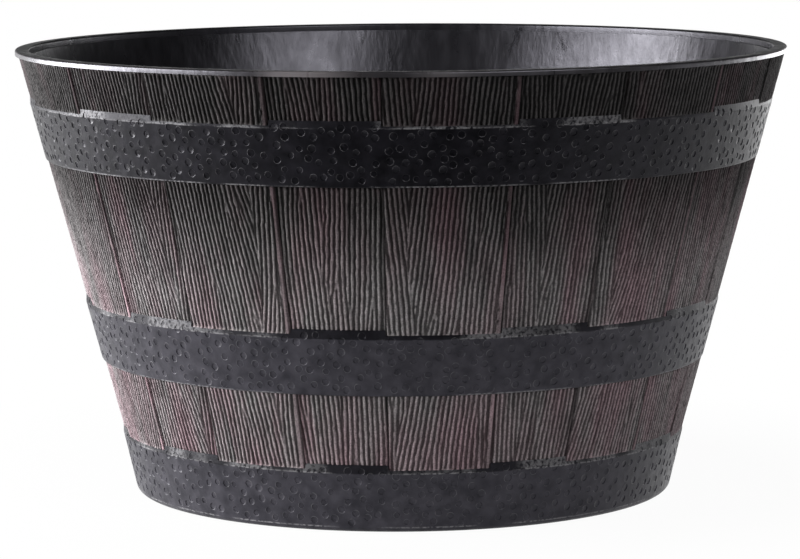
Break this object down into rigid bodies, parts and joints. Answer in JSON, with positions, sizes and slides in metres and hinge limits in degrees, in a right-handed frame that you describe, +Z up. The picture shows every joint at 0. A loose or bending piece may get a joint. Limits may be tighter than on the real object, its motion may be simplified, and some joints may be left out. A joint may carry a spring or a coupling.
{
  "type": "flower pot",
  "caption": "Tapered round floor pot shaped like half a barrel: wood-effect staves, hammered-effect hoops, smooth inner tub and a drain plug.",
  "frame": {"origin": "centre of the foot ring, on the ground plane", "axes": "+Z up along the pot's axis; -Y towards the front, the side that the picture shows; +X to the right seen from the front"},
  "size_m": [0.52, 0.52, 0.3],
  "materials": {
    "tub": "satin charcoal resin, faint vertical streaks",
    "stave": "moulded wood grain, near-black grooves, ridges dry-brushed grey-brown",
    "hoop": "satin black resin with hammer marks",
    "plug": "matt black rubber"
  },
  "bodies": {
    "pot": {"tub": "tub", "stave_01": "stave", "stave_02": "stave", "stave_03": "stave", "stave_04": "stave", "stave_05": "stave", "stave_06": "stave", "stave_07": "stave", "stave_08": "stave", "stave_09": "stave", "stave_10": "stave", "stave_11": "stave", "stave_12": "stave", "stave_13": "stave", "stave_14": "stave", "stave_15": "stave", "stave_16": "stave", "stave_17": "stave", "stave_18": "stave", "stave_19": "stave", "stave_20": "stave", "hoop_top": "hoop", "hoop_middle": "hoop", "hoop_base": "hoop"},
    "drain_plug": {"drain_plug": "plug"}
  },
  "joints": [
    {"name": "plug_pull", "type": "slide", "parent": "pot", "child": "drain_plug", "axis": [0, 0, 1], "range_m": [0, 0.04]}
  ]
}
